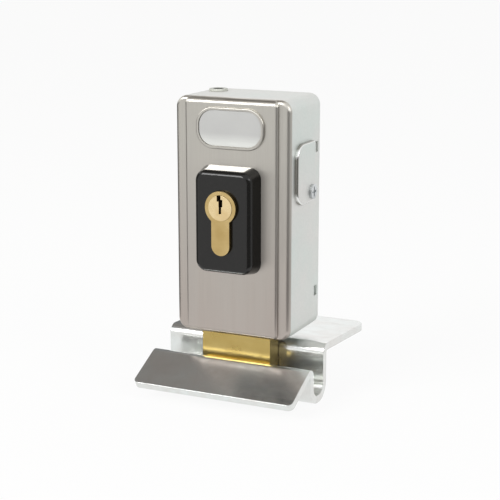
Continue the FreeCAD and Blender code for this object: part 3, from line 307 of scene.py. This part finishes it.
def machinedMetal(name, options):
    material, tree, place = startMaterial(name)
    along = addNode(tree, "ShaderNodeMapping", {"Scale": options["run"]},
                    {"Vector": place}).outputs[0]
    marks = addNode(tree, "ShaderNodeTexNoise", {"Scale": 1 / options["markWidth"], "Detail": 3.0},
                    {"Vector": along}).outputs["Fac"]
    stain = addNode(tree, "ShaderNodeTexNoise", {"Scale": 1 / options["tarnishSize"], "Detail": 3.0},
                    {"Vector": place}).outputs["Fac"]
    lying = addNode(tree, "ShaderNodeMapping", {"Scale": options["waveRun"]},
                    {"Vector": place}).outputs[0]
    wave = addNode(tree, "ShaderNodeTexNoise", {"Scale": 1 / options["waveSize"], "Detail": 1.0},
                   {"Vector": lying}).outputs["Fac"]
    stained = addNode(tree, "ShaderNodeMapRange", raisedNoise, {"Value": stain}).outputs[0]
    body = addNode(tree, "ShaderNodeMix", {
        "data_type": "RGBA", firstColour: linearColour(options["bright"]),
        secondColour: linearColour(options["tarnish"])}, {mixShare: stained}).outputs[mixedColour]
    lines = addNode(tree, "ShaderNodeMapRange", {**raisedNoise, "To Max": options["markShare"]},
                    {"Value": marks}).outputs[0]
    colour = addNode(tree, "ShaderNodeMix", {
        "data_type": "RGBA", secondColour: linearColour(options["tarnish"])},
        {mixShare: lines, firstColour: body}).outputs[mixedColour]
    sheen = addNode(tree, "ShaderNodeMapRange", {
        **allNoise, "To Min": options["smooth"], "To Max": options["rough"]},
        {"Value": stain}).outputs[0]
    rolling = addNode(tree, "ShaderNodeBump", {"Distance": options["waveDepth"]},
                      {"Height": wave}).outputs[0]
    relief = addNode(tree, "ShaderNodeBump", {"Distance": options["markDepth"]},
                     {"Height": marks, "Normal": rolling}).outputs[0]
    closeMaterial(tree, {"Metallic": 1.0},
                  {"Base Color": colour, "Roughness": sheen, "Normal": relief})
    return material


# The same brass inside the keyway, drawn dark brown and dim: painted shade in the slot.
keywayPaintedShade = {
    "deep": "#3A2A16", "lighterShade": "#57401F", "blotch": 0.8 * mm, "blotchDepth": 0.01 * mm,
    "roughness": 0.5, "metallic": 0.6,
}


def keywayShadeFinish(name, options):
    material, tree, place = startMaterial(name)
    blotch = addNode(tree, "ShaderNodeTexNoise", {"Scale": 1 / options["blotch"], "Detail": 3.0},
                     {"Vector": place}).outputs["Fac"]
    # painted shade: a dark brown, mottled colour for the slot's inside
    colour = addNode(tree, "ShaderNodeMix", {
        "data_type": "RGBA", firstColour: linearColour(options["deep"]),
        secondColour: linearColour(options["lighterShade"])}, {mixShare: blotch}).outputs[mixedColour]
    relief = addNode(tree, "ShaderNodeBump", {"Distance": options["blotchDepth"]},
                     {"Height": blotch}).outputs[0]
    closeMaterial(tree, {"Metallic": options["metallic"], "Roughness": options["roughness"]},
                  {"Base Color": colour, "Normal": relief})
    return material


# ABS, moulded and lacquered black: deep and even under a hard gloss with a slight orange peel,
# and a trace of dust that greys its flat faces.
guardLacquer = {
    "black": "#0F0E0C", "dusty": "#1B1917", "peel": 3 * mm, "peelDepth": 0.012 * mm,
    "dust": 0.9 * mm, "smooth": 0.1, "rough": 0.18, "shine": 0.36, "ior": 1.54,
    "coat": 0.0, "coatRough": 0.05, "coatIor": 1.8,
}
# The same lacquer where it lay thick while it dried, on the guard's upper wall: mirror smooth.
pooledLacquer = {
    "black": "#0F0E0C", "dusty": "#141311", "peel": 5 * mm, "peelDepth": 0.004 * mm,
    "dust": 2 * mm, "smooth": 0.04, "rough": 0.08, "shine": 0.5, "ior": 1.8,
    "coat": 1.0, "coatRough": 0.05, "coatIor": 1.8,
}
dustColourNoise = {"From Min": 0.5, "From Max": 0.8}
dustSheenNoise = {"From Min": 0.4, "From Max": 0.8}


def lacqueredAbs(name, options):
    material, tree, place = startMaterial(name)
    peel = addNode(tree, "ShaderNodeTexNoise", {"Scale": 1 / options["peel"], "Detail": 2.0},
                   {"Vector": place}).outputs["Fac"]
    dust = addNode(tree, "ShaderNodeTexNoise", {
        "Scale": 1 / options["dust"], "Detail": 5.0, "Roughness": 0.7}, {"Vector": place}).outputs["Fac"]
    settled = addNode(tree, "ShaderNodeMapRange", dustColourNoise, {"Value": dust}).outputs[0]
    colour = addNode(tree, "ShaderNodeMix", {
        "data_type": "RGBA", firstColour: linearColour(options["black"]),
        secondColour: linearColour(options["dusty"])}, {mixShare: settled}).outputs[mixedColour]
    sheen = addNode(tree, "ShaderNodeMapRange", {
        **dustSheenNoise, "To Min": options["smooth"], "To Max": options["rough"]},
        {"Value": dust}).outputs[0]
    relief = addNode(tree, "ShaderNodeBump", {"Distance": options["peelDepth"]},
                     {"Height": peel}).outputs[0]
    closeMaterial(tree, {
        "IOR": options["ior"], "Specular IOR Level": options["shine"], "Coat Weight": options["coat"],
        "Coat Roughness": options["coatRough"], "Coat IOR": options["coatIor"]},
        {"Base Color": colour, "Roughness": sheen, "Normal": relief})
    return material


# Moulded plastics and rubber, each with the fine grain of its spark-eroded tool (drawn coarser
# than the real 0.1 mm, which the render can't show) and a slow drift of shade.
guideNylon = {
    "colour": "#DEDBCF", "shade": "#D3CFC2", "drift": 12 * mm, "grain": 0.5 * mm,
    "depth": 0.01 * mm, "smooth": 0.42, "rough": 0.55, "ior": 1.53,
}
bobbinNylon = {
    "colour": "#1B1B1C", "shade": "#232324", "drift": 12 * mm, "grain": 0.6 * mm,
    "depth": 0.02 * mm, "smooth": 0.45, "rough": 0.6, "ior": 1.53,
}
terminalNylon = {
    "colour": "#C9CDCC", "shade": "#BFC4C3", "drift": 12 * mm, "grain": 0.6 * mm,
    "depth": 0.01 * mm, "smooth": 0.4, "rough": 0.55, "ior": 1.53,
}
grommetRubber = {
    "colour": "#C9CAC2", "shade": "#B9BBB2", "drift": 12 * mm, "grain": 0.7 * mm,
    "depth": 0.02 * mm, "smooth": 0.45, "rough": 0.6, "ior": 1.52,
}
# The rubber inside the cable bore, drawn dark as painted shade, where little light gets in.
boreRubberPaintedShade = {
    "colour": "#2C2D2A", "shade": "#232421", "drift": 12 * mm, "grain": 0.7 * mm,
    "depth": 0.02 * mm, "smooth": 0.6, "rough": 0.7, "ior": 1.52,
}


def mouldedPolymer(name, options):
    material, tree, place = startMaterial(name)
    grain = addNode(tree, "ShaderNodeTexNoise", {"Scale": 1 / options["grain"], "Detail": 3.0},
                    {"Vector": place}).outputs["Fac"]
    drift = addNode(tree, "ShaderNodeTexNoise", {"Scale": 1 / options["drift"], "Detail": 2.0},
                    {"Vector": place}).outputs["Fac"]
    shaded = addNode(tree, "ShaderNodeMapRange", middleNoise, {"Value": drift}).outputs[0]
    colour = addNode(tree, "ShaderNodeMix", {
        "data_type": "RGBA", firstColour: linearColour(options["colour"]),
        secondColour: linearColour(options["shade"])}, {mixShare: shaded}).outputs[mixedColour]
    sheen = addNode(tree, "ShaderNodeMapRange", {
        **allNoise, "To Min": options["smooth"], "To Max": options["rough"]},
        {"Value": grain}).outputs[0]
    relief = addNode(tree, "ShaderNodeBump", {"Distance": options["depth"]},
                     {"Height": grain}).outputs[0]
    closeMaterial(tree, {"IOR": options["ior"]},
                  {"Base Color": colour, "Roughness": sheen, "Normal": relief})
    return material


# Enamelled copper wire, 0.5 mm, laid turn by turn on the bobbin: glossy red-brown ribs with painted
# shade in the grooves between them, each drawn as wide as about six turns, since single turns are too
# fine to show.
coilWire = {
    "copper": "#B5622F", "groove": "#5E2E15", "rib": 3.14 * mm, "ribDepth": 0.2 * mm,
    "wander": 0.6, "roughness": 0.28, "metallic": 0.85,
}
waveSpan = 0.314  # from crest to crest of a wave texture at scale 1


def enamelledWinding(name, options):
    material, tree, place = startMaterial(name)
    turns = addNode(tree, "ShaderNodeTexWave", {
        "wave_type": "BANDS", "bands_direction": "Z", "Scale": waveSpan / options["rib"],
        "Distortion": options["wander"], "Detail": 1.0}, {"Vector": place}).outputs["Fac"]
    # painted shade in the grooves between the ribs
    colour = addNode(tree, "ShaderNodeMix", {
        "data_type": "RGBA", firstColour: linearColour(options["groove"]),
        secondColour: linearColour(options["copper"])}, {mixShare: turns}).outputs[mixedColour]
    relief = addNode(tree, "ShaderNodeBump", {"Distance": options["ribDepth"]},
                     {"Height": turns}).outputs[0]
    closeMaterial(tree, {"Metallic": options["metallic"], "Roughness": options["roughness"]},
                  {"Base Color": colour, "Normal": relief})
    return material


stainless = brushedStainless("brushedStainlessSteel", stainlessSheet)
aluminium = anodisedAluminium("satinAnodisedAluminium", plateSheet)
zinc = zincPlate("zincPlatedSheet", caseZinc)
strikeMetal = zincPlate("brightZincPlate", strikeZinc)
plateWallPaintedLight = wallWithPaintedLight("steelWallPaintedLight", wallPaintedLight)
boltBrass = machinedMetal("drawnBrassBar", barBrass)
cylinderBrass = machinedMetal("satinBrass", bodyBrass)
coreBrass = machinedMetal("turnedBrass", plugBrass)
keywayShadedBrass = keywayShadeFinish("brassKeywayPaintedShade", keywayPaintedShade)
steel = machinedMetal("zincPlatedSteel", partSteel)
springSteel = machinedMetal("drawnSpringWire", wireSteel)
blackAbs = lacqueredAbs("lacqueredBlackAbs", guardLacquer)
thickAbs = lacqueredAbs("pooledBlackLacquer", pooledLacquer)
nylon = mouldedPolymer("naturalNylon", guideNylon)
blackNylon = mouldedPolymer("glassFilledNylon", bobbinNylon)
greyNylon = mouldedPolymer("polyamideTerminal", terminalNylon)
rubber = mouldedPolymer("greyTpeRubber", grommetRubber)
boreShadeRubber = mouldedPolymer("shadedTpeBore", boreRubberPaintedShade)
winding = enamelledWinding("enamelledCopperWire", coilWire)
print("materials ready:", len(bpy.data.materials))

finishes = {
    "back_box": zinc, "back_plate": zinc, "front_cover": stainless, "name_plate": aluminium,
    "escutcheon": blackAbs, "escutcheon_screws": steel, "cylinder_body": cylinderBrass,
    "cylinder_plug": coreBrass, "cylinder_cam": steel, "cylinder_screw": steel,
    "bolt": boltBrass, "bolt_rivets": steel, "lift_plate": steel, "lift_pin": steel,
    "bolt_guide": nylon, "spring_bridge": zinc, "spring_pins": steel, "bolt_springs": springSteel,
    "lever": steel, "lever_pivot": steel, "solenoid_frame": zinc, "solenoid_bobbin": blackNylon,
    "solenoid_coil": winding, "plunger": steel, "plunger_pin": steel,
    "terminal_block": greyNylon, "terminal_screws": steel, "cable_grommet": rubber,
    "side_plate": zinc, "side_screw": steel, "cover_screws": steel, "floor_strike": strikeMetal,
}
for nodeName, solid in nodes.items():
    solid.data.materials.clear()
    solid.data.materials.append(finishes[nodeName])

bodyOf = {}
for body, members in frame["record"]["behaviour"]["bodies"].items():
    bodyOf.update({member: body for member in members})

# Where the second finishes lie. A turn is how far a face looks along an axis, from 0 to 1.
finishPlaces = {
    "plugHeight": 8 * mm, "keywayReach": 6 * mm, "boreX": -20.5 * mm, "boreY": -12 * mm,
    "boreReach": 3.2 * mm, "crossTurn": 0.5, "roofTurn": 0.975, "rimTurn": 0.9,
}


def insideKeyway(face):
    # faces of the key slot look sideways or up and down, well within the plug's rim
    middle = face.calc_center_median()
    reach = math.hypot(middle.x, middle.z - finishPlaces["plugHeight"])
    return abs(face.normal.y) < finishPlaces["crossTurn"] and reach < finishPlaces["keywayReach"]


def insideBore(face):
    middle = face.calc_center_median()
    reach = math.hypot(middle.x - finishPlaces["boreX"], middle.y - finishPlaces["boreY"])
    return abs(face.normal.z) < finishPlaces["crossTurn"] and reach < finishPlaces["boreReach"]


def guardRoof(face):
    return face.normal.z > finishPlaces["roofTurn"]


def plateRim(face):
    # the walls and their rounding, but not the broad outer face
    return abs(face.normal.x) < finishPlaces["rimTurn"]


# The solids again with their sharp edges broken, as the deburred or tumbled real ones have them.
# ease is the width of the broken edge, second a finish for the faces that part picks.
easedPieces = {
    "floor_strike": {"name": "strikePlate", "ease": 0.5 * mm, "segments": 3},
    "bolt": {"name": "boltBar", "ease": 0.35 * mm},
    "back_plate": {"name": "rearPlate", "ease": 0.3 * mm},
    "back_box": {"name": "caseBox", "ease": 0.3 * mm},
    "front_cover": {"name": "pressedCover", "ease": 0.2 * mm},
    "name_plate": {"name": "bareNamePlate", "ease": 0.12 * mm},
    "escutcheon": {"name": "cylinderGuard", "ease": 0.2 * mm, "second": thickAbs, "part": guardRoof},
    "cylinder_body": {"name": "profileCylinder", "ease": 0.25 * mm},
    # the key slot's faces take the painted shade
    "cylinder_plug": {"name": "keyPlug", "ease": 0.12 * mm, "second": keywayShadedBrass,
                      "part": insideKeyway},
    # the bore's faces take the painted shade
    "cable_grommet": {"name": "entryGrommet", "ease": 0.3 * mm, "segments": 3,
                      "second": boreShadeRubber, "part": insideBore},
    # the side plate's walls and their rounding take the painted shade and highlight
    "side_plate": {"name": "sideCoverPlate", "ease": 0.15 * mm, "second": plateWallPaintedLight,
                   "part": plateRim},
    "side_screw": {"name": "sideScrew", "ease": 0.25 * mm, "segments": 3},
    "bolt_guide": {"name": "boltGuide", "ease": 0.4 * mm},
    "terminal_block": {"name": "terminalBlock", "ease": 0.25 * mm},
    "lift_plate": {"name": "liftPlate", "ease": 0.2 * mm},
    "lever": {"name": "liftLever", "ease": 0.2 * mm},
    "cylinder_cam": {"name": "lockCam", "ease": 0.3 * mm},
    "spring_bridge": {"name": "springBridge", "ease": 0.2 * mm},
    "solenoid_frame": {"name": "solenoidYoke", "ease": 0.2 * mm},
}
# For all of them: corners closer than merge become one. The rest are angles between two faces, in
# degrees: up to flat they join, from broken their edge is broken, and from sharp it shades sharp.
easing = {"merge": 0.01 * mm, "flat": 0.6, "broken": 35, "sharp": 32}


def easeEdges(nodeName, options):
    mesh = nodes[nodeName].data.copy()
    mesh.materials.clear()
    mesh.materials.append(finishes[nodeName])
    if "second" in options:
        mesh.materials.append(options["second"])
    work = bmesh.new()
    work.from_mesh(mesh)
    bmesh.ops.remove_doubles(work, verts=work.verts, dist=easing["merge"])
    bmesh.ops.dissolve_limit(work, angle_limit=math.radians(easing["flat"]), verts=work.verts,
                             edges=work.edges)
    broken = [edge for edge in work.edges
              if len(edge.link_faces) == 2 and edge.calc_face_angle(0) > math.radians(easing["broken"])]
    bmesh.ops.bevel(work, geom=broken, offset=options["ease"], offset_type="OFFSET", affect="EDGES",
                    segments=options.get("segments", 2), profile=0.5, material=-1, clamp_overlap=True)
    for face in work.faces:
        face.smooth = True
        face.material_index = 1 if "part" in options and options["part"](face) else 0
    work.to_mesh(mesh)
    work.free()
    mesh.set_sharp_from_angle(angle=math.radians(easing["sharp"]))
    piece = bpy.data.objects.new(options["name"], mesh)
    bpy.context.scene.collection.objects.link(piece)
    # broad faces keep their own normal, so that a flat sheet mirrors like a flat sheet
    weights = piece.modifiers.new("broadFacesLead", "WEIGHTED_NORMAL")
    weights.keep_sharp = True
    depsgraph = bpy.context.evaluated_depsgraph_get()
    piece.data = bpy.data.meshes.new_from_object(piece.evaluated_get(depsgraph), depsgraph=depsgraph,
                                                 preserve_all_data_layers=True)
    piece.modifiers.clear()
    bpy.data.meshes.remove(mesh)
    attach(piece, bodyOf[nodeName])
    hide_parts(nodeName)


for nodeName, options in easedPieces.items():
    easeEdges(nodeName, options)
print("edges eased on", len(easedPieces), "pieces")

# The bolt's two springs, 29.4 mm long, are pressed to 15.6 mm while the bolt rises by 14 mm, and the
# bridge above holds their upper ends. Here the springs are copied unchanged onto their own body.
springPair = {"name": "boltSprings", "bridge": (0, 0, -19 * mm), "pressed": 0.53}


def pressSprings(options):
    springs = bpy.data.objects.new(options["name"], nodes["bolt_springs"].data.copy())
    bpy.context.scene.collection.objects.link(springs)
    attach(springs, bodyOf["bolt_springs"])
    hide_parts("bolt_springs")
    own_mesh(springs)


pressSprings(springPair)


def stageObject(name, work, material):
    mesh = bpy.data.meshes.new(name)
    work.to_mesh(mesh)
    work.free()
    mesh.materials.append(material)
    thing = bpy.data.objects.new(name, mesh)
    bpy.context.scene.collection.objects.link(thing)
    return thing


# A pale painted floor. Its glow is the share of plain white that the camera and mirrors see.
floorPaint = {
    "level": -94.6 * mm, "radius": 6.0, "segments": 96, "colour": "#F4F4F2", "glow": 0.9,
}


def makeFloor(options):
    material = bpy.data.materials.new("paintedFloor")
    tree = startTree(material)
    matt = addNode(tree, "ShaderNodeBsdfDiffuse", {"Color": linearColour(options["colour"])})
    white = addNode(tree, "ShaderNodeEmission", {"Strength": 1.0})
    path = addNode(tree, "ShaderNodeLightPath")
    seen = addNode(tree, "ShaderNodeMath", {"operation": "MAXIMUM"},
                   {0: path.outputs["Is Camera Ray"], 1: path.outputs["Is Glossy Ray"]}).outputs[0]
    share = addNode(tree, "ShaderNodeMath", {"operation": "MULTIPLY", 1: options["glow"]},
                    {0: seen}).outputs[0]
    mix = addNode(tree, "ShaderNodeMixShader",
                  links={0: share, 1: matt.outputs[0], 2: white.outputs[0]})
    addNode(tree, "ShaderNodeOutputMaterial", links={"Surface": mix.outputs[0]})
    work = bmesh.new()
    bmesh.ops.create_circle(work, cap_ends=True, segments=options["segments"], radius=options["radius"],
                            matrix=Matrix.Translation((0, 0, options["level"])))
    stageObject("studioFloor", work, material)


# Curved dark cards that only reflections see. Angles are in degrees from the front (-Y) towards
# the right (+X), distances and heights in metres, and shade is how much light a card gives back.
reflectorCards = {
    "cardRight": {"fromAngle": 14, "toAngle": 62, "distance": 0.14, "foot": -0.084, "top": 0.07,
                  "steps": 16, "shade": 0.24},
    "cardFarRight": {"fromAngle": 60, "toAngle": 128, "distance": 0.16, "foot": -0.084, "top": 0.07,
                     "steps": 16, "shade": 0.72},
    "cardLeft": {"fromAngle": -150, "toAngle": -48, "distance": 0.14, "foot": -0.084, "top": 0.07,
                 "steps": 16, "shade": 0.2},
}


def makeCard(name, options):
    material = bpy.data.materials.new(name + "Felt")
    tree = startTree(material)
    felt = addNode(tree, "ShaderNodeEmission", {"Strength": options["shade"]})
    addNode(tree, "ShaderNodeOutputMaterial", links={"Surface": felt.outputs[0]})
    first = math.radians(options["fromAngle"])
    x, y = options["distance"] * math.sin(first), -options["distance"] * math.cos(first)
    work = bmesh.new()
    foot = work.verts.new((x, y, options["foot"]))
    head = work.verts.new((x, y, options["top"]))
    edge = work.edges.new((foot, head))
    bmesh.ops.spin(work, geom=[foot, head, edge], cent=(0, 0, 0), axis=(0, 0, 1), use_merge=False,
                   angle=math.radians(options["toAngle"] - options["fromAngle"]),
                   steps=options["steps"], use_duplicate=False)
    card = stageObject(name, work, material)
    for kind in ("camera", "diffuse", "transmission", "volume_scatter", "shadow"):
        setattr(card, "visible_" + kind, False)


# An even white surround. Mirrors see a darker, warmer ceiling in it, and a glow behind the object.
# The inner and outer angles, in degrees, are where each is full and where it ends.
studioSky = {
    "fill": 0.62, "backdrop": 1.0, "horizon": 1.0, "ceiling": 0.22, "ceilingColour": "#FFF6EF",
    "ceilingTowards": (-0.39, 0.15, 0.9), "ceilingInner": 20, "ceilingOuter": 40,
    "glow": 0.3, "glowTowards": (-0.40, 0.74, 0.54), "glowInner": 8, "glowOuter": 26,
}
pureWhite = (1, 1, 1, 1)


def makeSky(options):
    world = bpy.data.worlds.new("studioSky")
    bpy.context.scene.world = world
    tree = startTree(world)
    edges = {name: math.cos(math.radians(options[name]))
             for name in ("ceilingInner", "ceilingOuter", "glowInner", "glowOuter")}
    way = addNode(tree, "ShaderNodeTexCoord").outputs["Generated"]
    upwards = addNode(tree, "ShaderNodeVectorMath", {
        "operation": "DOT_PRODUCT", 1: Vector(options["ceilingTowards"]).normalized()},
        {0: way}).outputs["Value"]
    overhead = addNode(tree, "ShaderNodeMapRange", {
        "From Min": edges["ceilingOuter"], "From Max": edges["ceilingInner"]},
        {"Value": upwards}).outputs[0]
    total = addNode(tree, "ShaderNodeMapRange", {
        "To Min": options["horizon"], "To Max": options["ceiling"]}, {"Value": overhead}).outputs[0]
    aligned = addNode(tree, "ShaderNodeVectorMath", {
        "operation": "DOT_PRODUCT", 1: Vector(options["glowTowards"]).normalized()},
        {0: way}).outputs["Value"]
    glow = addNode(tree, "ShaderNodeMapRange", {
        "From Min": edges["glowOuter"], "From Max": edges["glowInner"], "To Max": options["glow"]},
        {"Value": aligned}).outputs[0]
    both = addNode(tree, "ShaderNodeMath", {"operation": "ADD"}, {0: total, 1: glow}).outputs[0]
    tint = addNode(tree, "ShaderNodeMix", {
        "data_type": "RGBA", firstColour: pureWhite,
        secondColour: linearColour(options["ceilingColour"])}, {mixShare: overhead}).outputs[mixedColour]
    mirrored = addNode(tree, "ShaderNodeBackground", links={"Color": tint, "Strength": both})
    filling = addNode(tree, "ShaderNodeBackground", {"Color": pureWhite, "Strength": options["fill"]})
    backdrop = addNode(tree, "ShaderNodeBackground", {
        "Color": pureWhite, "Strength": options["backdrop"]})
    path = addNode(tree, "ShaderNodeLightPath")
    inner = addNode(tree, "ShaderNodeMixShader", links={
        0: path.outputs["Is Glossy Ray"], 1: filling.outputs[0], 2: mirrored.outputs[0]})
    outer = addNode(tree, "ShaderNodeMixShader", links={
        0: path.outputs["Is Camera Ray"], 1: inner.outputs[0], 2: backdrop.outputs[0]})
    addNode(tree, "ShaderNodeOutputWorld", links={"Surface": outer.outputs[0]})


# Places, aims and sizes in metres, power in watts.
softboxes = {
    "keySoftbox": {"place": (-0.60, -1.11, 0.71), "aim": (0, -0.03, 0), "size": (0.85, 0.45),
                   "power": 10},
    "fillSoftbox": {"place": (1.1, -0.35, 0.45), "aim": (0, -0.03, 0), "size": (0.5, 0.9),
                    "power": 4},
}


def addSoftbox(name, options):
    data = bpy.data.lights.new(name, "AREA")
    data.shape = "RECTANGLE"
    data.size, data.size_y = options["size"]
    data.energy = options["power"]
    lamp = bpy.data.objects.new(name, data)
    lamp.location = options["place"]
    towards = Vector(options["aim"]) - Vector(options["place"])
    lamp.rotation_euler = towards.to_track_quat("-Z", "Y").to_euler()
    bpy.context.scene.collection.objects.link(lamp)


# Fitted to the photograph's frame: lens, sensor and place in millimetres, angles in degrees.
photoView = {
    "lens": 98.95, "sensor": 36, "place": (300.57, -654.26, 143.36), "downwards": 13.11,
    "turned": 25.25, "nearest": 0.01,
}


def makeCamera(options):
    data = bpy.data.cameras.new("photoCamera")
    data.lens = options["lens"]
    data.sensor_width = options["sensor"]
    data.clip_start = options["nearest"]
    camera = bpy.data.objects.new("photoCamera", data)
    camera.location = [v * mm for v in options["place"]]
    camera.rotation_euler = [math.radians(v) for v in (90 - options["downwards"], 0, options["turned"])]
    bpy.context.scene.collection.objects.link(camera)
    bpy.context.scene.camera = camera


makeFloor(floorPaint)
makeSky(studioSky)
for name, options in reflectorCards.items():
    makeCard(name, options)
for name, options in softboxes.items():
    addSoftbox(name, options)
makeCamera(photoView)
bpy.context.scene.view_settings.view_transform = "Standard"
print("studio ready")
